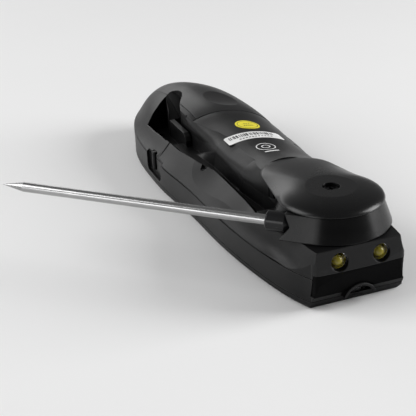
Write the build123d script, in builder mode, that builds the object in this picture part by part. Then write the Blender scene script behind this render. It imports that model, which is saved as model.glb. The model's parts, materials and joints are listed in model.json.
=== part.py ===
from build123d import *
import math
import os

# Infrared thermometer with a fold-out penetration probe, lying on its display side.
# Millimetres. +Z is up (the back of the instrument), -Y is the nose, +Y is the tail.
# The origin is on the axis of the probe hub, in the plane of the display side.

os.makedirs("parts", exist_ok=True)

# ---- Driving dimensions ----
bezel_top = 3.1            # parting plane between the front bezel and the front shell
front_bottom = 3.3
front_top = 11.35          # parting plane between the front shell and the rear shell
rear_bottom = 11.6
wall = 1.9
nose_y = -20.9             # sharp front edge of the nose
nose_edge_z = 13.1         # height of that edge
chin_y = -19.6             # front of the chin, below the nose plate
chin_z = 5.3
chin_foot_y = -16.2        # the chin runs back to here at z = 0
nose_corner_r = 2.0        # rounding of the nose's outer corners in plan
tail_y = 158.0

plateau_z = 20.7           # seat of the rotating drum
plateau_front_y = -19.5
drum_bottom = 20.95
drum_top = 28.95
drum_foot_r = 19.6
drum_head_r = 16.8
cap_bottom = 29.15
cap_top = 32.6             # flat facet round the screw

# Sections of the teardrop cap, as (hub radius, y of the tail's centre, tail radius, height).
cap_sections = (
    (17.3, 22.2, 13.3, cap_bottom), (16.95, 19.2, 11.6, 29.9), (15.6, 14.0, 9.6, 30.9),
    (13.0, 8.2, 8.3, 31.8), (9.6, 3.4, 7.6, 32.45), (6.0, 1.5, 5.2, 32.8),
)
cap_recess_r = 13.5        # hollow under the cap

probe_angle = 46.2         # how far the probe stands open, from folded along +Y
probe_offset = 14.4        # from the hub axis to the rod's centre line
probe_z = 24.9
rod_r = 1.72
rod_bore_r = 1.1
rod_start = -4.0           # distances along the rod from the foot of the hub's perpendicular
rod_end = 106.4
tip_end = 115.0
collar_r = 3.35
collar_start = 10.3
collar_end = 16.7
collar_cone = 2.1          # length of the cone behind the collar

drum_seal_r = 15.0
magnet_x = 12.6            # from the hub axis to the detent magnet
bush_r = 4.5
drum_bore_r = 4.56
screw_r = 1.45
post_r = 3.9               # post on the rear shell that the drum turns on
pivot_head_z = 30.42       # underside of the pivot screw's head
pivot_head_r = 2.6

door_left_x = -10.4
door_step_y = 96.0
door_bottom = 17.5
runner_x = (-7.6, 13.2)    # the door's two runners, which pass through slots in the tail
runner_bottom = 15.9
thumb_r = 60.0             # radius of the shallow thumb dish
thumb = (17.3, 110.5, 85.4)  # its centre, along the door's normal
gap = 0.15                 # reveal between neighbouring mouldings

channel_wall_x = -10.6
channel_floor = 15.4
channel_start_y = 16.5
rib_x = -14.4

led_x = 7.3
led_z = 16.3
led_r = 1.9
led_seat_r = 3.0
led_seat_y = -17.6

battery_r = 5.25
battery_length = 44.5
battery_x = (-1.95, 8.65)
battery_z = 10.8
tray = (-8.3, 15.0, 95.0, 144.6, 4.8, 15.4)   # outside of the battery tray: x, x, y, y, z, z

pcb_bottom = 7.0
pcb_top = 8.6

# Half-width of the body in plan, from nose to tail, as (y, half-width).
side_points = [
    (-18.2, 16.2), (-10.5, 19.3), (4, 22.5), (23, 24.9), (45, 26.1), (62, 26.5),
    (76, 27.7), (88, 28.5), (104, 28.4), (122, 27.2), (137, 24.0), (149, 18.0), (155.5, 10.0),
]

# Dome of the back, as (y, half-width, height of the ridge).
front_stations = [
    (-24, 17.6, 40), (-8, 20.6, 40), (6, 23.1, 39), (20, 25.0, 34), (35, 25.9, 29.6),
    (48, 26.5, 27.3), (62, 26.8, 26.8), (76, 27.8, 26.8), (88, 28.6, 26.9), (100, 28.8, 27.0),
]
tail_stations = [
    (90, 28.8, 26.9), (96, 28.8, 27.4), (101, 28.8, 28.0), (107, 28.7, 28.2), (116, 28.2, 28.1),
    (130, 26.4, 27.4), (142, 23.4, 25.4), (151, 18.8, 23.0), (156.5, 13.2, 20.5), (160, 8.0, 17.0),
]
dome_lean = 1.5            # run to rise of the dome's sides where they leave the parting plane

# Housing screws, as (x, y, top of the head).
screw_places = ((-18.4, 66.0, 17.6), (18.6, 64.0, 17.6), (11.0, 2.0, 20.0), (-18.8, 116.5, 13.0))
screw_head_r = 1.6
screw_shank_r = 0.9
boss_r = 2.9

# Left flank, outside the rim of the probe channel, as (y, x of the rim, z of the rim, slope).
flank_stations = [
    (-6, -21.6, 21.8, 2.6), (17, -19.2, 20.2, 1.25), (30, -17.4, 19.4, 0.85), (45, -17.0, 19.2, 0.76),
    (60, -16.8, 19.0, 0.74), (71, -19.6, 19.0, 0.95), (86, -22.6, 18.8, 1.25), (100, -23.0, 19.2, 1.3),
]

# Probe channel, as (y, x of the outer rim, height of the outer rim, x and height where the dome
# rolls over into the inner wall, x of that wall).
channel_stations = [
    (30, -17.4, 19.4, -10.3, 29.6, -10.9), (45, -17.0, 19.2, -7.4, 26.5, -12.3),
    (60, -16.8, 19.0, -7.0, 25.9, -12.4), (71, -19.4, 19.0, -7.2, 25.8, -12.3),
    (86, -21.8, 18.8, -9.0, 25.9, -12.0), (97, -22.3, 18.8, -11.2, 26.0, -12.5),
    (102, -22.3, 18.8, -11.4, 26.2, -12.6),
]
ramp_foot = (114.0, 20.3)  # (y, z) of the foot of the ramp at the end of the channel
ramp_head = (130.0, 25.4)


# ---- Shared planes and shapes ----
def station(y):
    """Plane across the body at y, with local x = X and local y = Z; it extrudes towards the nose."""
    return Plane(origin=(0, y, 0), x_dir=(1, 0, 0), z_dir=(0, -1, 0))


probe_plane = Plane.XY.rotated((0, 0, probe_angle))


def inset_sides(inset):
    """The right side's points as (x, y), moved inwards along their own normals."""
    path = [Vector(w, y) for y, w in side_points]
    ends = [Vector(16.2, nose_y - 5)] + path + [Vector(0, tail_y)]
    moved = []
    for before, here, after in zip(ends, path, ends[2:]):
        along = (after - before).normalized()
        inwards = Vector(-along.Y, along.X)
        moved.append(here + inwards * inset)
    return [(p.X, p.Y) for p in moved]


def plan_outline(inset=0.0, z=0.0):
    """The body's outline in plan, as a sketch at height z."""
    right = inset_sides(inset)
    left = [(-x, y) for x, y in right]
    corner_x = 16.2 - inset
    corner_y = nose_y + 0.6 + inset
    with BuildSketch(Plane.XY.offset(z)) as outline:
        with BuildLine():
            ThreePointArc((-corner_x, corner_y), (0, nose_y + inset), (corner_x, corner_y))
            Line((corner_x, corner_y), right[0])
            Spline(*right, (0, tail_y - inset), *reversed(left))
            Line(left[0], (-corner_x, corner_y))
        make_face()
        if inset < nose_corner_r / 2:
            corners = outline.vertices().sort_by(Axis.Y)[:2]
            fillet(corners, radius=nose_corner_r - inset)
    return outline.sketch


def dome(stations, inset=0.0):
    """The crowned back, lofted through its cross-sections."""
    with BuildPart() as body:
        for y, half_width, ridge in stations:
            w = half_width - inset
            top = ridge - inset
            rise = top - front_top
            with BuildSketch(station(y)):
                with BuildLine():
                    Spline((-w, front_top), (-0.72 * w, front_top + 0.51 * rise), (0, top),
                           (0.72 * w, front_top + 0.51 * rise), (w, front_top),
                           tangents=((dome_lean, 1), (dome_lean, -1)))
                    Line((w, front_top), (-w, front_top))
                make_face()
        loft()
    return body.part


def side_prism(points, half_length):
    """A prism across the body from a profile in (y, z)."""
    with BuildPart() as prism:
        with BuildSketch(Plane.YZ):
            with BuildLine():
                Polyline(*points, close=True)
            make_face()
        extrude(amount=half_length, both=True)
    return prism.part


def plan_prism(inset, z0, z1):
    """The body's outline in plan, drawn up from z0 to z1."""
    with BuildPart() as prism:
        with BuildSketch(Plane.XY.offset(z0)):
            add(plan_outline(inset))
        extrude(amount=z1 - z0)
    return prism.part


def block(x0, x1, y0, y1, z0, z1):
    """A plain box between two corners."""
    with BuildPart() as solid:
        with BuildSketch(Plane.XY.offset(z0)):
            with Locations(((x0 + x1) / 2, (y0 + y1) / 2)):
                Rectangle(x1 - x0, y1 - y0)
        extrude(amount=z1 - z0)
    return solid.part


def flank(margin=0.0):
    """What is taken off the left side, outside the rim of the probe channel."""
    far = -60.0
    with BuildPart() as tool:
        for y, rim_x, rim_z, slope in flank_stations:
            x = rim_x + margin
            z = rim_z - margin
            with BuildSketch(station(y)):
                with BuildLine():
                    Polyline((x, z), (far, z + slope * (far - x)), (far, 45), (x, 45), close=True)
                make_face()
        loft()
    return tool.part


def trough_section(rim_x, rim_z, roll_x, roll_z, wall_x, margin):
    """One cross-section of the probe channel, rolled over at its inner edge."""
    m = margin
    top_lean = -1.0 if roll_x - wall_x > 1 else -0.1
    with BuildLine() as edge:
        Line((roll_x + m, 45), (roll_x + m, roll_z - m))
        Spline((roll_x + m, roll_z - m), (wall_x + m, 20 - m), tangents=((top_lean, -0.4), (0, -1)))
        Polyline((wall_x + m, 20 - m), (wall_x - 0.8 + m, channel_floor - m),
                 (rim_x + 3 - m, channel_floor - m), (rim_x + 0.5 - m, rim_z - 1.1 - m),
                 (rim_x - 0.8 - m, rim_z + 0.2 - m), (rim_x - 0.8 - m, 45), (roll_x + m, 45))
    return make_face(edge.edges())


def channel_trough(margin=0.0):
    """The channel that the folded probe lies in."""
    start = (channel_start_y - margin, -19.2, 20.2, -10.55, 30.5, -10.6)
    with BuildPart() as tool:
        for near, far in zip([start] + channel_stations, channel_stations):
            for y, rim_x, rim_z, roll_x, roll_z, wall_x in (near, far):
                with BuildSketch(station(y)):
                    add(trough_section(rim_x, rim_z, roll_x, roll_z, wall_x, margin))
            loft(ruled=True)
    return tool.part


def tail_pocket(margin=0.0):
    """The deep finger pocket at the end of the channel."""
    with BuildPart() as tool:
        with BuildSketch(Plane.XY.offset(13.4 - margin)):
            with BuildLine():
                Polyline((-22.4, 99), (-22.7, 112), (-22.4, 122.5), (-19.9, 124.2), (-16.6, 125.8),
                         (-13.2, 128.2), (-11.6, 129.2), (-15.7, ramp_foot[0]), (-10.8, ramp_foot[0]),
                         (-12.5, 108.4), (-12.6, 99), close=True)
            make_face()
            if margin:
                offset(amount=margin, kind=Kind.INTERSECTION)
        extrude(amount=40)
    return tool.part


def end_ramp(margin=0.0):
    """What is cleared above the ramp that closes the channel, under an S-shaped edge."""
    fall = margin * 1.05
    with BuildPart() as tool:
        add(side_prism([(ramp_foot[0] - 1, ramp_foot[1] - fall), (ramp_foot[0], ramp_foot[1] - fall),
                        (ramp_head[0], ramp_head[1] - fall), (ramp_head[0] + 9, ramp_head[1] + 3 - fall),
                        (ramp_head[0] + 9, 45), (ramp_foot[0] - 1, 45)], 30))
        with BuildSketch(Plane.XY):
            with BuildLine():
                Line((-15.7 - margin, 113.5), (-11.6 - margin, 129.2))
                Spline((-11.6 - margin, 129.2), (-9.7, 131.4 + margin), (-7.2 + margin, 130.8 + margin),
                       (-5.7 + margin, 127.0), (-6.5 + margin, 122.5), (-9.6 + margin, 116.5),
                       (-10.8 + margin, 113.5))
                Line((-10.8 + margin, 113.5), (-15.7 - margin, 113.5))
            make_face()
        extrude(amount=60, mode=Mode.INTERSECT)
    return tool.part


def teardrop(hub_r, reach, tail_r, z):
    """A teardrop outline at height z, from the hub back to a smaller arc."""
    with BuildSketch(Plane.XY.offset(z)) as outline:
        Circle(hub_r)
        with Locations((-0.022 * reach, reach)):
            Circle(tail_r)
        make_hull()
    return outline.sketch


def keep(builder, name):
    """Label a finished piece and write it."""
    builder.part.label = name
    export_step(builder.part, "parts/" + name + ".step")


# ---- Solids that several mouldings share ----
nose_slope = side_prism([(nose_y - 8, nose_edge_z), (nose_y, nose_edge_z), (plateau_front_y, plateau_z),
                         (plateau_front_y, plateau_z + 30), (nose_y - 8, plateau_z + 30)], 30)
nose_plate_profile = [(nose_y + 0.15, nose_edge_z - 0.15), (chin_y + 0.05, chin_z + 0.15),
                      (chin_y + 1.6, chin_z + 0.15), (nose_y + 1.7, nose_edge_z - 0.15)]
nose_recess = side_prism([(nose_y - 8, nose_edge_z), (nose_y, nose_edge_z), (nose_y, nose_edge_z - 0.05),
                          (nose_y + 1.8, nose_edge_z - 0.05), (chin_y + 1.7, chin_z),
                          (nose_y - 8, chin_z)], 30)
chin_cut = side_prism([(nose_y - 8, chin_z), (chin_y, chin_z), (chin_foot_y, -0.01),
                       (chin_foot_y, -5), (nose_y - 8, -5)], 30)
outer_front = dome(front_stations)
outer_tail = dome(tail_stations)
inner_front = dome(front_stations, wall)
inner_tail = dome(tail_stations, wall)
strap_x = -28.5
strap_y = 98.5
strap_z = 9.6

with BuildPart() as outer_form:
    add(outer_front)
    add(block(-40, 40, door_step_y, 170, 0, 60), mode=Mode.SUBTRACT)
    with BuildPart(mode=Mode.PRIVATE) as tail_half:
        add(outer_tail)
        add(block(-40, 40, 60, door_step_y, 0, 60), mode=Mode.SUBTRACT)
    add(tail_half.part)
    add(plan_prism(0, rear_bottom, 60), mode=Mode.INTERSECT)
    add(nose_slope, mode=Mode.SUBTRACT)

with BuildPart() as inner_form:
    add(inner_front)
    add(block(-40, 40, door_step_y - 0.2, 170, 0, 60), mode=Mode.SUBTRACT)
    with BuildPart(mode=Mode.PRIVATE) as inner_tail_half:
        add(inner_tail)
        add(block(-40, 40, 60, door_step_y - 0.2, 0, 60), mode=Mode.SUBTRACT)
    add(inner_tail_half.part)
    add(plan_prism(wall, 5, 60), mode=Mode.INTERSECT)
    add(flank(wall), mode=Mode.SUBTRACT)
    add(channel_trough(wall), mode=Mode.SUBTRACT)
    add(tail_pocket(wall), mode=Mode.SUBTRACT)
    add(end_ramp(wall), mode=Mode.SUBTRACT)
    add(block(-40, 40, -40, 22.4, plateau_z - wall, 60), mode=Mode.SUBTRACT)
    add(block(-40, 40, 20, 38.5, cap_bottom - wall - 0.4, 60), mode=Mode.SUBTRACT)
    add(block(-40, 40, -40, nose_y + 4.2, 0, 60), mode=Mode.SUBTRACT)

with BuildPart() as boss_form:
    for x, y, head_z in screw_places:
        with BuildSketch(Plane.XY.offset(rear_bottom)):
            with Locations((x, y)):
                Circle(boss_r)
        extrude(amount=17)
    add(outer_form.part, mode=Mode.INTERSECT)

with BuildPart() as screw_holes:
    for x, y, head_z in screw_places:
        with BuildSketch(Plane.XY.offset(head_z - 1.3)):
            with Locations((x, y)):
                Circle(screw_head_r + 0.15)
        extrude(amount=25)
        with BuildSketch(Plane.XY.offset(rear_bottom - 1)):
            with Locations((x, y)):
                Circle(screw_shank_r + 0.1)
        extrude(amount=25)

with BuildPart() as strap_recess:
    with BuildSketch(Plane.YZ.offset(-40)):
        with Locations((strap_y, strap_z)):
            RectangleRounded(17, 10.6, 2.2)
    extrude(amount=40 + strap_x + 1.4)
    with BuildSketch(Plane.YZ.offset(-40)):
        with Locations((strap_y + 2.5, strap_z)):
            RectangleRounded(5.4, 7.4, 1.2)
    extrude(amount=40 + strap_x + 4.4)
strap_backing = block(strap_x - 2, strap_x + 5.6, strap_y - 10, strap_y + 10, 3.6, 16.6)

# ---- Rear shell: the moulded back, with the drum seat, probe channel and battery opening ----
with BuildPart() as rear_shell:
    add(outer_form.part)
    add(inner_form.part, mode=Mode.SUBTRACT)
    add(boss_form.part)
    add(strap_backing & outer_form.part)
    # Post that the drum turns on, and the roof under the drum.
    with BuildSketch(Plane.XY.offset(plateau_z - 0.5)):
        Circle(post_r)
    extrude(amount=cap_bottom - 0.35 - plateau_z + 0.5)
    add(flank(), mode=Mode.SUBTRACT)
    add(channel_trough(), mode=Mode.SUBTRACT)
    add(tail_pocket(), mode=Mode.SUBTRACT)
    add(end_ramp(), mode=Mode.SUBTRACT)
    add(nose_recess, mode=Mode.SUBTRACT)
    # Seat and sweep of the drum and its arm.
    with BuildSketch(Plane.XY.offset(plateau_z)):
        Rectangle(80, 60, align=(Align.CENTER, Align.MAX))
        with Locations((0, -0.5)):
            Rectangle(80, 10, align=(Align.CENTER, Align.MIN))
        Circle(20.6)
        with BuildSketch(mode=Mode.PRIVATE) as arm_sweep:
            Circle(27.5)
            with Locations((channel_wall_x, 0)):
                Rectangle(60, 60, align=(Align.MAX, Align.CENTER), mode=Mode.INTERSECT)
        add(arm_sweep.sketch)
        Circle(post_r, mode=Mode.SUBTRACT)
    extrude(amount=40, mode=Mode.SUBTRACT)
    with BuildSketch(Plane.XY.offset(plateau_z - 0.8)):
        Circle(drum_seal_r + 0.65)
        Circle(drum_seal_r - 0.65, mode=Mode.SUBTRACT)
    extrude(amount=1, mode=Mode.SUBTRACT)
    with BuildSketch(Plane.XY.offset(19.5)):
        Circle(screw_r + 0.02)
    extrude(amount=12, mode=Mode.SUBTRACT)
    # Seat of the hub cap.
    add(block(-40, 40, -40, 33, cap_bottom - 0.1, 60), mode=Mode.SUBTRACT)
    with BuildSketch(Plane.XY.offset(cap_bottom - 0.1)):
        add(teardrop(17.3 + gap, 22.2, 13.3 + gap, cap_bottom - 0.1))
    extrude(amount=40, mode=Mode.SUBTRACT)
    # Battery opening: everything right of the channel wall and above the door's parting plane.
    add(block(door_left_x - gap, 40, door_step_y - gap, 170, door_bottom, 60), mode=Mode.SUBTRACT)
    add(block(tray[0] - 0.1, tray[1] + 0.1, tray[2] - 0.1, tray[3] + 0.1, 5, door_bottom),
        mode=Mode.SUBTRACT)
    for x in runner_x:
        add(block(x - 0.9, x + 0.9, 130, 170, runner_bottom - 0.3, 60), mode=Mode.SUBTRACT)
    add(screw_holes.part, mode=Mode.SUBTRACT)
    add(strap_recess.part, mode=Mode.SUBTRACT)
    # Flashlight seats and bores.
    for side in (-1, 1):
        with BuildSketch(station(led_seat_y)):
            with Locations((side * led_x, led_z)):
                Circle(led_seat_r)
        extrude(amount=12, mode=Mode.SUBTRACT)
        with BuildSketch(station(-13)):
            with Locations((side * led_x, led_z)):
                Circle(led_r + 0.05)
        extrude(amount=12, mode=Mode.SUBTRACT)
    # Rib under the folded probe's tip.
    add(side_prism([(94.5, channel_floor - 2.5), (94.8, 17.6), (95.8, 19.4), (97.6, 20.3), (114.4, 20.3),
                    (114.4, channel_floor - 2.5)], 30) & block(rib_x - 1.1, rib_x + 1.1, 90, 116, 10, 21))
    # Detent slot in the wall beside the folded probe.
    add(block(channel_wall_x - 1, channel_wall_x + 1.8, 20.6, 22.0, 21.5, 30), mode=Mode.SUBTRACT)
keep(rear_shell, "rear_shell")

# ---- Battery door: the hump at the tail, which slides off towards +Y ----
runner_limit = dome(tail_stations, 0.6)
with BuildPart() as battery_door:
    add(outer_form.part & block(door_left_x, 40, door_step_y, 170, door_bottom + gap, 60))
    add(inner_tail & block(-1.2, 40, door_step_y + wall, 153, 5, 60), mode=Mode.SUBTRACT)
    add(inner_tail & block(door_left_x + wall, -3.0, door_step_y + wall, 113.5, 5, 60),
        mode=Mode.SUBTRACT)
    add(end_ramp(), mode=Mode.SUBTRACT)
    with Locations(thumb):
        Sphere(thumb_r, mode=Mode.SUBTRACT)
    # Runners that hook under the shell's edge.
    for x in runner_x:
        add(block(x - 0.6, x + 0.6, door_step_y + 4, 113, runner_bottom, 40) & runner_limit)
keep(battery_door, "battery_door")

# ---- Hub cap, screwed down over the drum ----
with BuildPart() as hub_cap:
    for hub_r, reach, tail_r, z in cap_sections:
        with BuildSketch(Plane.XY.offset(z)):
            add(teardrop(hub_r, reach, tail_r, z))
    loft()
    add(block(-20, 20, -20, 20, cap_top, 40), mode=Mode.SUBTRACT)
    with BuildSketch(Plane.XY.offset(cap_bottom)):
        Circle(cap_recess_r)
        Circle(5.2, mode=Mode.SUBTRACT)
    extrude(amount=1.0, mode=Mode.SUBTRACT)
    with BuildSketch(Plane.XY.offset(pivot_head_z - 0.02)):
        Circle(pivot_head_r + 0.3)
    extrude(amount=5, mode=Mode.SUBTRACT)
    with BuildSketch(Plane.XY.offset(28)):
        Circle(screw_r + 0.1)
    extrude(amount=5, mode=Mode.SUBTRACT)
keep(hub_cap, "hub_cap")

with BuildPart() as pivot_screw:
    with BuildSketch(Plane.XY.offset(pivot_head_z)):
        Circle(pivot_head_r)
    extrude(amount=1.3)
    with BuildSketch(Plane.XY.offset(pivot_head_z + 0.6)):
        Rectangle(3.2, 0.6)
        Rectangle(0.6, 3.2)
    extrude(amount=1, mode=Mode.SUBTRACT)
    with BuildSketch(Plane.XY.offset(20.0)):
        Circle(screw_r)
    extrude(amount=pivot_head_z - 20.0 + 0.08)
keep(pivot_screw, "pivot_screw")

with BuildPart() as pivot_bush:
    with BuildSketch(Plane.XY.offset(plateau_z + 0.02)):
        Circle(bush_r)
        Circle(post_r + 0.02, mode=Mode.SUBTRACT)
    extrude(amount=cap_bottom - plateau_z - 0.4)
keep(pivot_bush, "pivot_bush")

with BuildPart() as wave_washer:
    with BuildSketch(Plane.XY.offset(plateau_z + 0.02)):
        Circle(6.6)
        Circle(bush_r + 0.15, mode=Mode.SUBTRACT)
    extrude(amount=0.6)
keep(wave_washer, "wave_washer")

with BuildPart() as drum_seal:
    with Locations((0, 0, plateau_z - 0.28)):
        Torus(drum_seal_r, 0.48)
keep(drum_seal, "drum_seal")

# ---- Probe drum: a cone that turns about the post, with a straight arm for the probe ----
arm_plane = Plane(origin=probe_plane.from_local_coords((-16, 0, 0)), x_dir=probe_plane.y_dir,
                  z_dir=probe_plane.x_dir)
rod_plane = Plane(origin=probe_plane.from_local_coords((-probe_offset, 0, probe_z)),
                  x_dir=probe_plane.x_dir, z_dir=probe_plane.y_dir)
with BuildPart() as probe_drum:
    with BuildSketch(probe_plane.offset(drum_bottom)):
        Circle(drum_foot_r)
    with BuildSketch(probe_plane.offset(drum_top)):
        Circle(drum_head_r)
    loft()
    with BuildPart(mode=Mode.PRIVATE) as arm:
        for z, reach in ((drum_bottom, drum_foot_r), (drum_top, drum_head_r)):
            with BuildSketch(probe_plane.offset(z)):
                with Locations((-reach, 0)):
                    Rectangle(reach - 8, 13.2, align=(Align.MIN, Align.MIN))
        loft(ruled=True)
        with BuildSketch(arm_plane):
            with BuildLine():
                Polyline((8.0, probe_z), (10.3, drum_top + 0.5), (16, drum_top + 0.5),
                         (16, drum_bottom - 0.5), (11.8, drum_bottom - 0.5), close=True)
            make_face()
        extrude(amount=12, both=True, mode=Mode.SUBTRACT)
    add(arm.part)
    # Room for the collar where it leaves the cone.
    with BuildSketch(rod_plane.offset(collar_start - collar_cone)):
        Circle(2.1)
    with BuildSketch(rod_plane.offset(collar_start)):
        Circle(collar_r + 0.1)
    loft(mode=Mode.SUBTRACT)
    with BuildSketch(rod_plane.offset(collar_start)):
        Circle(collar_r + 0.1)
    extrude(amount=8, mode=Mode.SUBTRACT)
    with BuildSketch(rod_plane.offset(rod_start - 0.1)):
        Circle(rod_r + 0.01)
    extrude(amount=20, mode=Mode.SUBTRACT)
    with BuildSketch(probe_plane.offset(drum_bottom)):
        Circle(7.2)
    extrude(amount=0.7, mode=Mode.SUBTRACT)
    with BuildSketch(probe_plane.offset(drum_bottom)):
        Circle(10.8)
        Circle(7.2, mode=Mode.SUBTRACT)
    extrude(amount=6, mode=Mode.SUBTRACT)
    with BuildSketch(probe_plane.offset(drum_bottom)):
        with Locations((magnet_x, 0)):
            Circle(1.6)
    extrude(amount=2.2, mode=Mode.SUBTRACT)
    with BuildSketch(probe_plane.offset(drum_bottom - 1)):
        Circle(drum_bore_r)
    extrude(amount=12, mode=Mode.SUBTRACT)
keep(probe_drum, "probe_drum")

with BuildPart() as drum_magnet:
    with BuildSketch(probe_plane.offset(drum_bottom + 0.2)):
        with Locations((magnet_x, 0)):
            Circle(1.55)
    extrude(amount=1.95)
keep(drum_magnet, "drum_magnet")

with BuildPart() as probe_lead:
    with Locations((0, 0, drum_bottom + 3.2)):
        Torus(9.0, 0.6)
keep(probe_lead, "probe_lead")

with BuildPart() as probe_collar:
    with BuildSketch(rod_plane.offset(collar_start - collar_cone)):
        Circle(1.95)
    with BuildSketch(rod_plane.offset(collar_start)):
        Circle(collar_r)
    loft()
    with BuildSketch(rod_plane.offset(collar_start)):
        Circle(collar_r)
    extrude(amount=collar_end - collar_start)
    chamfer(probe_collar.faces().sort_by(Axis(rod_plane.origin, rod_plane.z_dir))[-1].edges(), 0.35)
    with BuildSketch(rod_plane):
        Circle(rod_r + 0.01)
    extrude(amount=30, mode=Mode.SUBTRACT)
keep(probe_collar, "probe_collar")

with BuildPart() as probe_rod:
    with BuildSketch(rod_plane.offset(rod_start)):
        Circle(rod_r)
        Circle(rod_bore_r, mode=Mode.SUBTRACT)
    extrude(amount=rod_end - rod_start)
keep(probe_rod, "probe_rod")

with BuildPart() as probe_tip:
    with BuildSketch(rod_plane.offset(rod_end)):
        Circle(rod_r)
    with BuildSketch(rod_plane.offset(tip_end)):
        Circle(0.12)
    loft()
    with BuildSketch(rod_plane.offset(rod_end)):
        Circle(0.8)
    extrude(amount=2.6, mode=Mode.SUBTRACT)
keep(probe_tip, "probe_tip")

with BuildPart() as thermocouple:
    with BuildSketch(rod_plane.offset(rod_start)):
        for side in (-1, 1):
            with Locations((side * 0.42, 0)):
                Circle(0.38)
    extrude(amount=rod_end - rod_start)
    with BuildSketch(rod_plane.offset(rod_end)):
        Circle(0.78)
    extrude(amount=1.8)
keep(thermocouple, "thermocouple")


# ---- Nose plate: the dark end plate between the two shells ----
hood_z = 1.2
hood_r = 6.1
hood_bore_r = 5.2
with BuildPart() as nose_plate:
    add(side_prism(nose_plate_profile, 30))
    add(plan_prism(0.25, 0, 30), mode=Mode.INTERSECT)
    add(block(-15.9, 15.9, -30, 0, 0, 30), mode=Mode.INTERSECT)
    with BuildSketch(station(-10)):
        with Locations((0, hood_z)):
            Circle(hood_r + 0.1)
        for side in (-1, 1):
            with Locations((side * led_x, led_z)):
                Circle(led_seat_r)
    extrude(amount=20, mode=Mode.SUBTRACT)
keep(nose_plate, "nose_plate")

# ---- Front shell: the middle band, its floor and the posts ----
lens_z = 4.7
barrel_r = 3.5
window_y = 32.0
window_width = 30.0
window_length = 38.0
buttons = (("measure", 0.0, 67.0, 7.0), ("mode", -9.6, 82.0, 4.2), ("hold", 9.6, 82.0, 4.2))
with BuildPart() as lip:
    add(plan_prism(wall - 0.05, front_top - 1.2, front_top))
    add(plan_prism(wall + 1.5, front_top - 0.5, rear_bottom + 0.6))
    add(plan_prism(wall + 2.4, 0, 30), mode=Mode.SUBTRACT)
    add(block(-40, 40, -60, -11, 0, 30), mode=Mode.SUBTRACT)
    add(block(-50, -8, 10, 142, 0, 30), mode=Mode.SUBTRACT)

with BuildPart() as front_shell:
    add(plan_prism(0, front_bottom, front_top))
    add(plan_prism(wall, front_bottom + 1.4, 30), mode=Mode.SUBTRACT)
    # Lip that locates the rear shell.
    add(lip.part)
    add(strap_backing & plan_prism(0, front_bottom, front_top))
    for x, y, head_z in screw_places:
        with BuildSketch(Plane.XY.offset(front_bottom)):
            with Locations((x, y)):
                Circle(boss_r)
        extrude(amount=front_top - front_bottom)
    add(plan_prism(0, 0, 30), mode=Mode.INTERSECT)
    add(nose_recess, mode=Mode.SUBTRACT)
    add(chin_cut, mode=Mode.SUBTRACT)
    # Arched hood over the infrared port.
    with BuildSketch(station(-17.9)):
        with Locations((0, hood_z)):
            Circle(hood_r)
            Circle(hood_bore_r, mode=Mode.SUBTRACT)
        with Locations((0, front_bottom)):
            Rectangle(20, 12, align=(Align.CENTER, Align.MAX), mode=Mode.SUBTRACT)
    extrude(amount=2.6)
    with BuildSketch(station(-17.0)):
        with Locations((0, hood_z)):
            Circle(hood_bore_r)
    extrude(amount=8, mode=Mode.SUBTRACT)
    with BuildSketch(station(-8.6)):
        with Locations((0, lens_z)):
            Circle(barrel_r + 0.1)
    extrude(amount=8.9, mode=Mode.SUBTRACT)
    # Openings for the display and the button stems.
    with BuildSketch(Plane.XY.offset(front_bottom - 1)):
        with Locations((0, window_y)):
            Rectangle(window_width + 3, window_length + 3)
        for name, x, y, r in buttons:
            with Locations((x, y)):
                Circle(r - 1.0)
    extrude(amount=4, mode=Mode.SUBTRACT)
    with BuildSketch(Plane.XY.offset(front_bottom + 2)):
        for x, y, head_z in screw_places:
            with Locations((x, y)):
                Circle(screw_shank_r + 0.05)
    extrude(amount=20, mode=Mode.SUBTRACT)
    add(strap_recess.part, mode=Mode.SUBTRACT)
keep(front_shell, "front_shell")

# ---- Front bezel: the thin display-side moulding that the instrument lies on ----
with BuildPart() as front_bezel:
    add(plan_prism(0, 0, bezel_top))
    chamfer(front_bezel.faces().sort_by(Axis.Z)[0].outer_wire().edges(), 1.5)
    add(chin_cut, mode=Mode.SUBTRACT)
    with BuildSketch(Plane.XY):
        with Locations((0, window_y)):
            RectangleRounded(window_width + 4, window_length + 4, 3)
    extrude(amount=1.5, mode=Mode.SUBTRACT)
    with BuildSketch(Plane.XY):
        with Locations((0, window_y)):
            RectangleRounded(window_width, window_length, 1.5)
        for name, x, y, r in buttons:
            with Locations((x, y)):
                Circle(r + 0.25)
    extrude(amount=10, mode=Mode.SUBTRACT)
    with BuildSketch(Plane.XY.offset(1.6)):
        for name, x, y, r in buttons:
            with Locations((x, y)):
                Circle(r + 1.2)
    extrude(amount=10, mode=Mode.SUBTRACT)
    with BuildSketch(station(-8.6)):
        with Locations((0, lens_z)):
            Circle(barrel_r + 0.1)
    extrude(amount=8.9, mode=Mode.SUBTRACT)
keep(front_bezel, "front_bezel")

with BuildPart() as display_window:
    with BuildSketch(Plane.XY.offset(0.2)):
        with Locations((0, window_y)):
            RectangleRounded(window_width + 3.7, window_length + 3.7, 2.8)
    extrude(amount=1.25)
keep(display_window, "display_window")

for name, x, y, r in buttons:
    with BuildPart() as button:
        with BuildSketch(Plane.XY.offset(0.35)):
            with Locations((x, y)):
                Circle(r)
        extrude(amount=1.6)
        fillet(button.faces().sort_by(Axis.Z)[0].edges(), 0.5)
        with BuildSketch(Plane.XY.offset(1.75)):
            with Locations((x, y)):
                Circle(r + 0.9)
        extrude(amount=0.7)
        with BuildSketch(Plane.XY.offset(1.75)):
            with Locations((x, y)):
                Circle(r - 1.4)
        extrude(amount=2.45)
    keep(button, "button_" + name)

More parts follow.
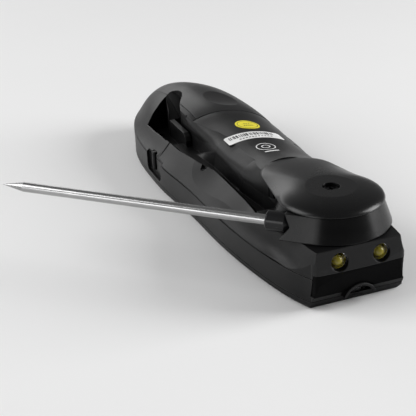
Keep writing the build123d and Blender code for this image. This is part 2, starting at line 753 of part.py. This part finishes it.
with BuildPart() as keypad_mat:
    with BuildSketch(Plane.XY.offset(5.1)):
        with Locations((0, 74)):
            RectangleRounded(30, 28, 3)
    extrude(amount=0.5)
    with BuildSketch(Plane.XY.offset(5.1)):
        for name, x, y, r in buttons:
            with Locations((x, y)):
                Circle(r - 1.6)
    extrude(amount=1.1)
keep(keypad_mat, "keypad_mat")

with BuildPart() as carbon_pills:
    with BuildSketch(Plane.XY.offset(6.2)):
        for name, x, y, r in buttons:
            with Locations((x, y)):
                Circle(1.6)
    extrude(amount=0.35)
keep(carbon_pills, "carbon_pills")

# ---- Display and electronics ----
with BuildPart() as lcd_glass:
    with BuildSketch(Plane.XY.offset(3.4)):
        with Locations((0, window_y)):
            Rectangle(31, 38.5)
    extrude(amount=1.1)
    with BuildSketch(Plane.XY.offset(4.5)):
        with Locations((0, window_y - 1.2)):
            Rectangle(31, 36)
    extrude(amount=1.1)
keep(lcd_glass, "lcd_glass")

with BuildPart() as lcd_backlight:
    with BuildSketch(Plane.XY.offset(5.65)):
        with Locations((0, window_y - 1.2)):
            Rectangle(30, 33)
    extrude(amount=1.3)
keep(lcd_backlight, "lcd_backlight")

with BuildPart() as zebra_strips:
    with BuildSketch(Plane.XY.offset(4.55)):
        with Locations((0, window_y + 18.1)):
            Rectangle(28, 1.6)
    extrude(amount=2.4)
keep(zebra_strips, "zebra_strips")

with BuildPart() as main_pcb:
    with BuildSketch(Plane.XY.offset(pcb_bottom)):
        with BuildLine():
            Polyline((-14, -8), (14, -8), (18.5, 8), (20.5, 30), (20.5, 92), (-20.5, 92), (-20.5, 30),
                     (-18.5, 8), close=True)
        make_face()
        for x, y, head_z in screw_places:
            with Locations((x, y)):
                Circle(boss_r + 0.3, mode=Mode.SUBTRACT)
        with Locations((0, -8)):
            Rectangle(8.4, 8, mode=Mode.SUBTRACT)
    extrude(amount=pcb_top - pcb_bottom)
keep(main_pcb, "main_pcb")

with BuildPart() as mcu_chip:
    with BuildSketch(Plane.XY.offset(pcb_top + 0.02)):
        with Locations((2, 40)):
            RectangleRounded(12, 12, 0.6)
    extrude(amount=1.5)
keep(mcu_chip, "mcu_chip")

with BuildPart() as amplifier_chips:
    with BuildSketch(Plane.XY.offset(pcb_top + 0.02)):
        with Locations((-7, 14), (6, 10), (7, 62)):
            Rectangle(4, 5)
    extrude(amount=1.5)
keep(amplifier_chips, "amplifier_chips")

with BuildPart() as crystal:
    with BuildSketch(Plane.XY.offset(pcb_top + 0.02)):
        with Locations((13, 46)):
            RectangleRounded(4, 9.5, 1.9)
    extrude(amount=3.2)
keep(crystal, "crystal")

with BuildPart() as capacitors:
    with BuildSketch(Plane.XY.offset(pcb_top + 0.02)):
        with Locations((15, 74), (9, 78), (-3, 56)):
            Circle(2.0)
    extrude(amount=3.2)
keep(capacitors, "capacitors")

buzzer_place = (-3, 76)
with BuildPart() as buzzer:
    with BuildSketch(Plane.XY.offset(pcb_top + 0.02)):
        with Locations(buzzer_place):
            Circle(6.0)
    extrude(amount=4.2)
    with BuildSketch(Plane.XY.offset(pcb_top + 3)):
        with Locations(buzzer_place):
            Circle(1.2)
    extrude(amount=4, mode=Mode.SUBTRACT)
keep(buzzer, "buzzer")

with BuildPart() as reed_switch:
    with BuildSketch(station(8)):
        with Locations((-13, 15.4)):
            Circle(1.1)
    extrude(amount=14)
keep(reed_switch, "reed_switch")

# ---- Infrared optics and flashlights ----
with BuildPart() as ir_barrel:
    with BuildSketch(station(-8.7)):
        with Locations((0, lens_z)):
            Circle(barrel_r)
            Circle(2.75, mode=Mode.SUBTRACT)
    extrude(amount=8.7)
keep(ir_barrel, "ir_barrel")

with BuildPart() as ir_lens:
    with BuildSketch(station(-15.6)):
        with Locations((0, lens_z)):
            Circle(2.72)
    extrude(amount=1.0)
keep(ir_lens, "ir_lens")

with BuildPart() as ir_sensor:
    with BuildSketch(station(-8.8)):
        with Locations((0, lens_z)):
            Circle(2.7)
    extrude(amount=0.5)
    with BuildSketch(station(-9.3)):
        with Locations((0, lens_z)):
            Circle(2.3)
    extrude(amount=2.2)
keep(ir_sensor, "ir_sensor")

for name, side in (("left", -1), ("right", 1)):
    with BuildPart() as led:
        with BuildSketch(station(-13.6)):
            with Locations((side * led_x, led_z)):
                Circle(led_r)
        extrude(amount=4.6)
        with Locations((side * led_x, -18.2, led_z)):
            Sphere(led_r)
    keep(led, "led_" + name)
    with BuildPart() as reflector:
        with BuildSketch(station(led_seat_y - 0.02)):
            with Locations((side * led_x, led_z)):
                Circle(led_seat_r - 0.05)
        extrude(amount=1.3)
        with BuildSketch(station(led_seat_y)):
            with Locations((side * led_x, led_z)):
                Circle(led_r + 0.05)
        with BuildSketch(station(led_seat_y - 1.4)):
            with Locations((side * led_x, led_z)):
                Circle(led_seat_r - 0.2)
        loft(mode=Mode.SUBTRACT)
    keep(reflector, "led_reflector_" + name)

# ---- Batteries and their tray ----
with BuildPart() as battery_tray:
    add(block(*tray))
    add(block(tray[0] + 1, tray[1] - 1, tray[2] + 1, tray[3] - 1, tray[4] + 0.7, tray[5] + 1),
        mode=Mode.SUBTRACT)
keep(battery_tray, "battery_tray")

tray_front = tray[2] + 1
tray_rear = tray[3] - 1
for number, x in enumerate(battery_x):
    turned = -1 if number else 1
    nub_end = tray_front + 0.5 if number == 0 else tray_rear - 0.5
    with BuildPart() as battery:
        with BuildSketch(Plane(origin=(x, nub_end, battery_z), x_dir=(1, 0, 0), z_dir=(0, turned, 0))):
            Circle(1.9)
        extrude(amount=2)
        with BuildSketch(Plane(origin=(x, nub_end + turned * 0.9, battery_z), x_dir=(1, 0, 0),
                               z_dir=(0, turned, 0))):
            Circle(battery_r)
        extrude(amount=battery_length - 0.9)
        fillet(battery.edges().filter_by(GeomType.CIRCLE).filter_by(lambda e: e.radius > 5), 0.4)
    keep(battery, "battery_" + ("a", "b")[number])
    spring_end = tray_rear if number == 0 else tray_front
    with BuildPart() as spring:
        for turn in range(3):
            with Locations(Plane(origin=(x, spring_end - turned * (0.45 + 0.62 * turn), battery_z),
                                 x_dir=(1, 0, 0), z_dir=(0, 1, 0))):
                Torus(3.4 - 0.45 * turn, 0.42)
    keep(spring, "battery_spring_" + ("a", "b")[number])

with BuildPart() as battery_contacts:
    for x, y in ((battery_x[0], tray_front + 0.02), (battery_x[1], tray_rear - 0.42)):
        add(block(x - 3.5, x + 3.5, y, y + 0.4, battery_z - 4, battery_z + 4))
keep(battery_contacts, "battery_contacts")

# ---- Small parts ----
with BuildPart() as housing_screws:
    for x, y, head_z in screw_places:
        with BuildSketch(Plane.XY.offset(head_z - 1.25)):
            with Locations((x, y)):
                Circle(screw_head_r)
        extrude(amount=1.2)
        with BuildSketch(Plane.XY.offset(front_bottom + 2.2)):
            with Locations((x, y)):
                Circle(screw_shank_r)
        extrude(amount=head_z - 1.2 - front_bottom - 2.2)
        with BuildSketch(Plane.XY.offset(head_z - 0.55)):
            with Locations((x, y)):
                Rectangle(2.0, 0.45)
                Rectangle(0.45, 2.0)
        extrude(amount=1, mode=Mode.SUBTRACT)
keep(housing_screws, "housing_screws")

with BuildPart() as strap_bar:
    with BuildSketch(Plane.XY.offset(strap_z - 3.65)):
        with Locations((strap_x + 1.5, strap_y + 2.5)):
            Circle(1.0)
    extrude(amount=7.3)
keep(strap_bar, "strap_bar")

label_thickness = 0.12
round_label_place = (4.4, 79.2)
round_label_r = 4.8
code_label_place = (2.1, 67.4)
code_label_size = (22.4, 6.8)
raised_back = dome([(y, w + label_thickness, h + label_thickness) for y, w, h in front_stations])
with BuildPart() as round_label:
    with BuildSketch(Plane.XY.offset(15)):
        with Locations(round_label_place):
            Circle(round_label_r)
    extrude(amount=20)
    add(raised_back, mode=Mode.INTERSECT)
    add(outer_front, mode=Mode.SUBTRACT)
keep(round_label, "round_label")

with BuildPart() as code_label:
    with BuildSketch(Plane.XY.offset(10)):
        with Locations(code_label_place):
            RectangleRounded(*code_label_size, 0.9)
    extrude(amount=25)
    add(raised_back, mode=Mode.INTERSECT)
    add(outer_front, mode=Mode.SUBTRACT)
keep(code_label, "code_label")
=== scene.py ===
import json
import math

import bmesh
import bpy
from mathutils import Matrix, Vector
from mathutils.bvhtree import BVHTree


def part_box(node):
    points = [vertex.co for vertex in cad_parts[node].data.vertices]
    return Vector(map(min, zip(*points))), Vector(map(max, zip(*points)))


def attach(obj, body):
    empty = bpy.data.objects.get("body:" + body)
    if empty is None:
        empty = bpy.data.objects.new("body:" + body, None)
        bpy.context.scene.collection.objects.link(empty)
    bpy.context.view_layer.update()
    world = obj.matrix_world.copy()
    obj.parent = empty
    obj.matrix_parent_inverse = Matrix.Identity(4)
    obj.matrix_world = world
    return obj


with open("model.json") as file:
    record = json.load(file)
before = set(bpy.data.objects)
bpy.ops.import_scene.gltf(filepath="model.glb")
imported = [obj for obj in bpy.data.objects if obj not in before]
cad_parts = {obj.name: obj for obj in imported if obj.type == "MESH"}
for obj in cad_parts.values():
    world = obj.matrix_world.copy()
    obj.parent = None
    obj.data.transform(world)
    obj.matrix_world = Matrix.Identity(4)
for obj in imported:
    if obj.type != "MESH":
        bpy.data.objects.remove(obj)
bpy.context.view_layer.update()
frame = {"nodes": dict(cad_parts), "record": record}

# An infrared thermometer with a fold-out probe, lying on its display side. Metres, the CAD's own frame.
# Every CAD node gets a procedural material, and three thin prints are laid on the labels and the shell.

MM = 0.001
NODES = frame["nodes"]


# ---------------------------------------------------------------- node helpers
class Nodes:
    """A short way to write a material's node tree."""

    def __init__(self, name):
        self.material = bpy.data.materials.new(name)
        self.material.use_nodes = True
        self.tree = self.material.node_tree
        self.tree.nodes.clear()
        self.output = self.add("ShaderNodeOutputMaterial")
        self.shader = self.add("ShaderNodeBsdfPrincipled")
        self.link(self.shader, "BSDF", self.output, "Surface")
        self.where = self.add("ShaderNodeTexCoord")

    def add(self, kind, **settings):
        node = self.tree.nodes.new(kind)
        for key, value in settings.items():
            setattr(node, key, value)
        return node

    def link(self, a, out, b, into):
        self.tree.links.new(a.outputs[out], b.inputs[into])

    def set(self, **values):
        for key, value in values.items():
            self.shader.inputs[key.replace("_", " ")].default_value = value

    def noise(self, scale, detail=4.0, roughness=0.6, stretch=None, turn=0.0):
        node = self.add("ShaderNodeTexNoise")
        node.inputs["Scale"].default_value = scale
        node.inputs["Detail"].default_value = detail
        node.inputs["Roughness"].default_value = roughness
        if stretch is None:
            self.link(self.where, "Object", node, "Vector")
        else:
            mapping = self.add("ShaderNodeMapping")
            mapping.vector_type = "TEXTURE"
            mapping.inputs["Rotation"].default_value = (0, 0, turn)
            mapping.inputs["Scale"].default_value = stretch
            self.link(self.where, "Object", mapping, "Vector")
            self.link(mapping, "Vector", node, "Vector")
        return node

    def ramp(self, source, output, stops):
        node = self.add("ShaderNodeValToRGB")
        elements = node.color_ramp.elements
        while len(elements) < len(stops):
            elements.new(0.5)
        for element, (place, colour) in zip(elements, stops):
            element.position = place
            element.color = (*colour, 1.0)
        self.link(source, output, node, "Fac")
        return node

    def spread(self, source, output, low, high, from_low=0.0, from_high=1.0):
        node = self.add("ShaderNodeMapRange")
        for key, value in (("From Min", from_low), ("From Max", from_high), ("To Min", low),
                           ("To Max", high)):
            node.inputs[key].default_value = value
        self.link(source, output, node, "Value")
        return node

    def bump(self, layers, edge=0.0):
        """Chains bumps, each (height node, output, strength, distance), over edges rounded in shading."""
        last = None
        if edge:
            last = self.add("ShaderNodeBevel", samples=6)
            last.inputs["Radius"].default_value = edge
        for source, output, strength, distance in layers:
            node = self.add("ShaderNodeBump")
            node.inputs["Strength"].default_value = strength
            node.inputs["Distance"].default_value = distance
            self.link(source, output, node, "Height")
            if last is not None:
                self.link(last, "Normal", node, "Normal")
            last = node
        self.link(last, "Normal", self.shader, "Normal")


def shades(tone, low, high):
    """Two stops of a ramp: the tone darkened by low and lightened by high."""
    return [(0.3, tuple(c * low for c in tone)), (0.7, tuple(c * high for c in tone))]


PAINTED_SHADE_REACH = 0.014        # how far the painted shade in cavities looks for nearby surfaces


def moulded_plastic(name, tone, rough, grain=9000.0, grain_depth=0.00002, wear=0.25, coat=0.0, gloss=0.26,
                    edge=0.0004):
    """Moulded plastic: spark grain, slow change of gloss, lighter worn edges, and painted shade that dims
    the reflections in cavities.
    """
    m = Nodes(name)
    slow = m.noise(45.0, 3.0)
    fine = m.noise(grain, 2.0, 0.5)
    edges = m.add("ShaderNodeNewGeometry")
    worn = m.ramp(edges, "Pointiness", [(0.50, (0, 0, 0)), (0.62, (1, 1, 1))])
    colour = m.ramp(slow, "Fac", shades(tone, 0.85, 1.15))
    mix = m.add("ShaderNodeMix", data_type="RGBA")
    mix.inputs["B"].default_value = (*[min(1.0, c * 2.2 + 0.01) for c in tone], 1.0)
    faded = m.add("ShaderNodeMath", operation="MULTIPLY")
    faded.inputs[1].default_value = wear
    m.link(worn, "Color", faded, 0)
    m.link(faded, "Value", mix, "Factor")
    m.link(colour, "Color", mix, "A")
    m.link(mix, "Result", m.shader, "Base Color")
    roughness = m.spread(slow, "Fac", rough - 0.04, rough + 0.05, 0.3, 0.7)
    m.link(roughness, "Result", m.shader, "Roughness")
    # Painted shade: the reflections are dimmed where ambient occlusion finds a cavity or crease.
    cavity_shade = m.add("ShaderNodeAmbientOcclusion", samples=8)
    cavity_shade.inputs["Distance"].default_value = PAINTED_SHADE_REACH
    shade_dimmed_gloss = m.spread(cavity_shade, "AO", 0.08 * gloss, gloss, 0.25, 0.85)
    m.link(shade_dimmed_gloss, "Result", m.shader, "Specular IOR Level")
    m.set(IOR=1.5, Specular_IOR_Level=gloss, Coat_Weight=coat, Coat_Roughness=0.25)
    m.bump([(fine, "Fac", 0.35, grain_depth)], edge)
    return m.material


def brushed_metal(name, tone, rough, stretch=(1.0, 1.0, 1.0), depth=0.000004, turn=0.0):
    """Metal with fine lines, drawn out by the factors in stretch along axes turned about Z."""
    m = Nodes(name)
    lines = m.noise(2600.0, 3.0, 0.6, stretch, turn)
    blotch = m.noise(90.0, 3.0)
    colour = m.ramp(blotch, "Fac", shades(tone, 0.9, 1.0))
    m.link(colour, "Color", m.shader, "Base Color")
    roughness = m.spread(lines, "Fac", rough - 0.05, rough + 0.08, 0.3, 0.7)
    m.link(roughness, "Result", m.shader, "Roughness")
    m.set(Metallic=1.0, IOR=2.5)
    m.bump([(lines, "Fac", 0.4, depth)])
    return m.material


def soft_rubber(name, tone, rough=0.62):
    """A dull surface with a fine grain: rubber, paper, ink or woven sheath."""
    m = Nodes(name)
    fine = m.noise(7000.0, 3.0)
    slow = m.noise(120.0, 3.0)
    colour = m.ramp(slow, "Fac", shades(tone, 0.85, 1.1))
    m.link(colour, "Color", m.shader, "Base Color")
    roughness = m.spread(slow, "Fac", rough - 0.05, rough + 0.06, 0.3, 0.7)
    m.link(roughness, "Result", m.shader, "Roughness")
    m.bump([(fine, "Fac", 0.3, 0.00002)])
    return m.material


def clear_resin(name, tone, rough=0.08, transmission=0.75, bubbles=600.0):
    """Clear or cloudy resin or glass."""
    m = Nodes(name)
    cloud = m.noise(bubbles, 3.0)
    colour = m.ramp(cloud, "Fac", shades(tone, 0.75, 1.0))
    m.link(colour, "Color", m.shader, "Base Color")
    roughness = m.spread(cloud, "Fac", rough, rough + 0.1, 0.3, 0.7)
    m.link(roughness, "Result", m.shader, "Roughness")
    m.set(IOR=1.5, Transmission_Weight=transmission)
    return m.material


BLACK = (0.003, 0.003, 0.0032)
PROBE_TURN = math.radians(46.2)     # the rod lies along +Y turned by this about Z
MATERIALS = {
    "shell_black": moulded_plastic("shell plastic", BLACK, 0.36),
    "band_black": moulded_plastic("band plastic", BLACK, 0.36),
    "bezel_black": moulded_plastic("bezel plastic", BLACK, 0.34),
    "cap_black": moulded_plastic("cap plastic", BLACK, 0.30, coat=0.15),
    "door_black": moulded_plastic("door plastic", (0.006, 0.006, 0.0063), 0.38, gloss=0.38),
    "nose_black": moulded_plastic("nose plastic", (0.0012, 0.0012, 0.0013), 0.5, gloss=0.03),
    "drum_black": moulded_plastic("drum plastic", (0.0015, 0.0015, 0.0016), 0.26, gloss=0.2),
    "collar_black": moulded_plastic("collar plastic", (0.006, 0.006, 0.0065), 0.18, grain_depth=0.000006),
    "barrel_black": moulded_plastic("barrel plastic", (0.006, 0.006, 0.006), 0.6),
    "bar_black": moulded_plastic("bar plastic", BLACK, 0.4),
    "tray_black": moulded_plastic("tray plastic", (0.02, 0.02, 0.021), 0.45),
    "button_grey": soft_rubber("button rubber", (0.11, 0.11, 0.12)),
    "window_clear": clear_resin("window acrylic", (0.5, 0.52, 0.54), 0.04, 0.85),
    "lcd_grey": clear_resin("display glass", (0.33, 0.36, 0.30), 0.12, 0.2),
    "diffuser_white": soft_rubber("diffuser", (0.75, 0.76, 0.74), 0.4),
    "silicone_grey": soft_rubber("silicone", (0.30, 0.30, 0.31)),
    "carbon_black": soft_rubber("carbon pill", (0.02, 0.02, 0.02)),
    "pcb_green": moulded_plastic("solder mask", (0.02, 0.16, 0.06), 0.3),
    "chip_black": moulded_plastic("chip epoxy", (0.02, 0.02, 0.02), 0.55),
    "can_steel": brushed_metal("can steel", (0.62, 0.62, 0.60), 0.3),
    "can_aluminium": brushed_metal("can aluminium", (0.70, 0.70, 0.70), 0.3),
    "buzzer_black": moulded_plastic("buzzer case", (0.02, 0.02, 0.02), 0.5),
    "reed_glass": clear_resin("reed glass", (0.45, 0.6, 0.45), 0.04, 0.8),
    "lens_smoke": clear_resin("infrared lens", (0.30, 0.30, 0.31), 0.25, 0.3),
    "led_amber": clear_resin("lamp resin", (0.36, 0.30, 0.02), 0.06, 0.4, 1500.0),
    "reflector_chrome": brushed_metal("reflector chrome", (0.8, 0.8, 0.8), 0.12),
    "screw_steel": brushed_metal("blackened screw steel", (0.025, 0.025, 0.027), 0.28),
    "bush_brass": brushed_metal("bush brass", (0.70, 0.52, 0.25), 0.3),
    "spring_steel": brushed_metal("spring steel", (0.6, 0.6, 0.6), 0.25),
    "contact_nickel": brushed_metal("contact nickel", (0.66, 0.64, 0.58), 0.3),
    "magnet_nickel": brushed_metal("magnet nickel", (0.62, 0.62, 0.62), 0.2),
    "seal_rubber": soft_rubber("seal rubber", (0.012, 0.012, 0.012), 0.5),
    "cell_wrap": moulded_plastic("cell sleeve", (0.14, 0.18, 0.26), 0.3),
    "lead_sheath": soft_rubber("lead sheath", (0.70, 0.68, 0.62), 0.6),
    "probe_steel": brushed_metal("drawn probe steel", (0.42, 0.42, 0.42), 0.22, (1.0, 40.0, 1.0),
                                 0.000003, PROBE_TURN),
    "tip_steel": brushed_metal("ground tip steel", (0.36, 0.36, 0.36), 0.26, (12.0, 1.0, 12.0),
                               0.000004, PROBE_TURN),
    "label_yellow": soft_rubber("label paper yellow", (0.86, 0.76, 0.04), 0.55),
    "label_white": soft_rubber("label paper white", (0.86, 0.86, 0.85), 0.55),
}

for row in frame["record"]["subparts"]:
    node = NODES[row["node"]]
    material = MATERIALS[row["material_slot"]]
    for slot in node.material_slots:
        slot.material = material


# ---------------------------------------------------------------- printing on the labels and the shell
def tree_of(name):
    """A search tree over one node's surface."""
    node = NODES[name]
    return BVHTree.FromPolygons([node.matrix_world @ v.co for v in node.data.vertices],
                                [p.vertices[:] for p in node.data.polygons])


SURFACES = [tree_of(name) for name in ("rear_shell", "round_label", "code_label")]
INK_LIFT = 0.03 * MM
ABOVE_ALL = 0.1             # a height above every piece, from which the surface is looked for


def drape(name, patches, material):
    """A thin print on the back: each patch is a grid of rows of (x, y) in millimetres."""
    mesh = bmesh.new()
    for rows in patches:
        grid = []
        for row in rows:
            line = []
            for x, y in row:
                start = Vector((x * MM, y * MM, ABOVE_ALL))
                hits = [tree.ray_cast(start, Vector((0, 0, -1)))[0] for tree in SURFACES]
                top = max(hit.z for hit in hits if hit is not None)
                line.append(mesh.verts.new((x * MM, y * MM, top + INK_LIFT)))
            grid.append(line)
        for lower, upper in zip(grid, grid[1:]):
            for a, b, c, d in zip(lower, lower[1:], upper[1:], upper):
                mesh.faces.new((a, b, c, d))
    data = bpy.data.meshes.new(name)
    mesh.to_mesh(data)
    mesh.free()
    data.materials.append(material)
    piece = bpy.data.objects.new(name, data)
    bpy.context.scene.collection.objects.link(piece)
    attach(piece, "housing")


def stroke(x0, y0, x1, y1, width, steps=6):
    """A straight stroke from one point to another."""
    along = Vector((x1 - x0, y1 - y0))
    side = Vector((-along.y, along.x)).normalized() * width / 2
    rows = []
    for k in range(steps + 1):
        p = Vector((x0, y0)) + along * k / steps
        rows.append([tuple(p + side), tuple(p - side)])
    return rows


def ring(x, y, radius, width, turn=1.0, start=0.0, steps=40):
    """A ring, or part of one, about (x, y)."""
    rows = []
    for k in range(steps + 1):
        a = 2 * math.pi * (start + turn * k / steps)
        rows.append([(x + (radius - width / 2) * math.cos(a), y + (radius - width / 2) * math.sin(a)),
                     (x + (radius + width / 2) * math.cos(a), y + (radius + width / 2) * math.sin(a))])
    return rows


def label_middle(name):
    """The middle of a label in plan, in millimetres."""
    low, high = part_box(name)
    return (low[0] + high[0]) / 2 / MM, (low[1] + high[1]) / 2 / MM


INK = soft_rubber("black ink", (0.02, 0.02, 0.02), 0.5)
WHITE_INK = soft_rubber("white ink", (0.85, 0.85, 0.85), 0.5)

# A ring round two rows of short strokes, given as (y from the middle, count, step, height).
seal_x, seal_y = label_middle("round_label")
marks = [ring(seal_x, seal_y, 3.95, 0.2)]
for row_y, count, step, height in ((-1.15, 5, 0.8, 0.62), (1.05, 3, 0.95, 0.5)):
    for k in range(count):
        x = seal_x + (k - (count - 1) / 2) * step
        y = seal_y + row_y
        marks.append(stroke(x - 0.23, y, x + 0.23, y, height, 2))
drape("round_label_print", marks, INK)

# Made-up bars of a few widths and gaps, over a row of strokes. They carry no code.
BAR_WIDTHS = (0.30, 0.55, 0.35, 0.70, 0.25)
BAR_GAPS = (0.35, 0.50, 0.30, 0.45)
BAR_COUNT = 22
DASH_COUNT = 11
DASH_STEP = 1.25
strip_x, strip_y = label_middle("code_label")
bars = []
x = strip_x - 9.6
for k in range(BAR_COUNT):
    width = BAR_WIDTHS[(k * 7) % len(BAR_WIDTHS)]
    bars.append(stroke(x, strip_y - 0.3, x, strip_y + 2.3, width, 2))
    x += width + BAR_GAPS[(k * 5) % len(BAR_GAPS)]
for k in range(DASH_COUNT):
    x = strip_x - 6.6 + DASH_STEP * k
    bars.append(stroke(x, strip_y - 1.9, x + 0.8, strip_y - 1.9, 0.7, 2))
drape("code_label_print", bars, INK)

# A plain mark on the shell: two rings over a bar.
mark_x, mark_y = strip_x - 1.0, strip_y - 13.2
drape("shell_mark_print",
      [ring(mark_x, mark_y, 3.5, 0.4), ring(mark_x, mark_y, 1.5, 0.4),
       stroke(mark_x - 2.75, mark_y - 5.6, mark_x + 2.75, mark_y - 5.6, 1.0)], WHITE_INK)


# ---------------------------------------------------------------- stage, light and camera
def area_light(name, size, power, place, aim):
    """A white softbox at a place, turned to a point."""
    data = bpy.data.lights.new(name, "AREA")
    data.shape = "RECTANGLE"
    data.size, data.size_y = size
    data.energy = power
    light = bpy.data.objects.new(name, data)
    light.location = place
    light.rotation_euler = (Vector(aim) - Vector(place)).to_track_quat("-Z", "Y").to_euler()
    bpy.context.scene.collection.objects.link(light)


FLOOR_HALF = 3.0
FLOOR_DROP = 0.0002         # keeps the floor clear of the face the instrument lies on
floor_mesh = bpy.data.meshes.new("floor")
floor_mesh.from_pydata([(-FLOOR_HALF, -FLOOR_HALF, 0), (FLOOR_HALF, -FLOOR_HALF, 0),
                        (FLOOR_HALF, FLOOR_HALF, 0), (-FLOOR_HALF, FLOOR_HALF, 0)], [], [(0, 1, 2, 3)])
floor = bpy.data.objects.new("floor", floor_mesh)
floor.location.z = -FLOOR_DROP
bpy.context.scene.collection.objects.link(floor)
floor_look = Nodes("floor paper")
floor_tone = floor_look.ramp(floor_look.noise(3.0), "Fac",
                             [(0.3, (0.86, 0.86, 0.86)), (0.7, (0.88, 0.88, 0.88))])
floor_look.link(floor_tone, "Color", floor_look.shader, "Base Color")
floor_look.set(Roughness=0.9)
floor_mesh.materials.append(floor_look.material)

world = bpy.data.worlds.new("studio")
bpy.context.scene.world = world
world.use_nodes = True
sky = world.node_tree.nodes["Background"]
sky.inputs["Color"].default_value = (1, 1, 1, 1)
sky.inputs["Strength"].default_value = 0.2

area_light("left softbox", (0.8, 0.8), 8.5, (-0.9, 0.35, 0.6), (0, 0.04, 0))
area_light("left front softbox", (0.5, 0.35), 1.8, (-0.95, -0.42, 0.22), (0, 0, 0.02))
area_light("back softbox", (1.1, 0.4), 2.4, (-0.2, 1.15, 0.4), (0, 0.08, 0))
area_light("right softbox", (0.5, 0.6), 9.0, (0.8, -0.25, 0.35), (0, 0, 0))

# The camera looks down on the nose from its left front corner.
AZIMUTH = math.radians(-20.05)
ELEVATION = math.radians(24.88)
ROLL = math.radians(-2.86)
DISTANCE = 0.3887
LOOK_AT = Vector((-0.02685, 0.04234, 0.0129))
back = Vector((math.sin(AZIMUTH) * math.cos(ELEVATION), -math.cos(AZIMUTH) * math.cos(ELEVATION),
               math.sin(ELEVATION)))
right = Vector((math.cos(AZIMUTH), math.sin(AZIMUTH), 0))
up = back.cross(right)
tilted_right = right * math.cos(ROLL) + up * math.sin(ROLL)
tilted_up = up * math.cos(ROLL) - right * math.sin(ROLL)
turn = Matrix((tilted_right, tilted_up, back)).transposed().to_4x4()
camera_data = bpy.data.cameras.new("camera")
camera_data.lens = 95.3
camera_data.sensor_width = 36
camera_data.clip_start = 0.01
camera_data.clip_end = 20
camera = bpy.data.objects.new("camera", camera_data)
camera.matrix_world = Matrix.Translation(LOOK_AT + back * DISTANCE) @ turn
bpy.context.scene.collection.objects.link(camera)
bpy.context.scene.camera = camera
bpy.context.scene.view_settings.view_transform = "Standard"
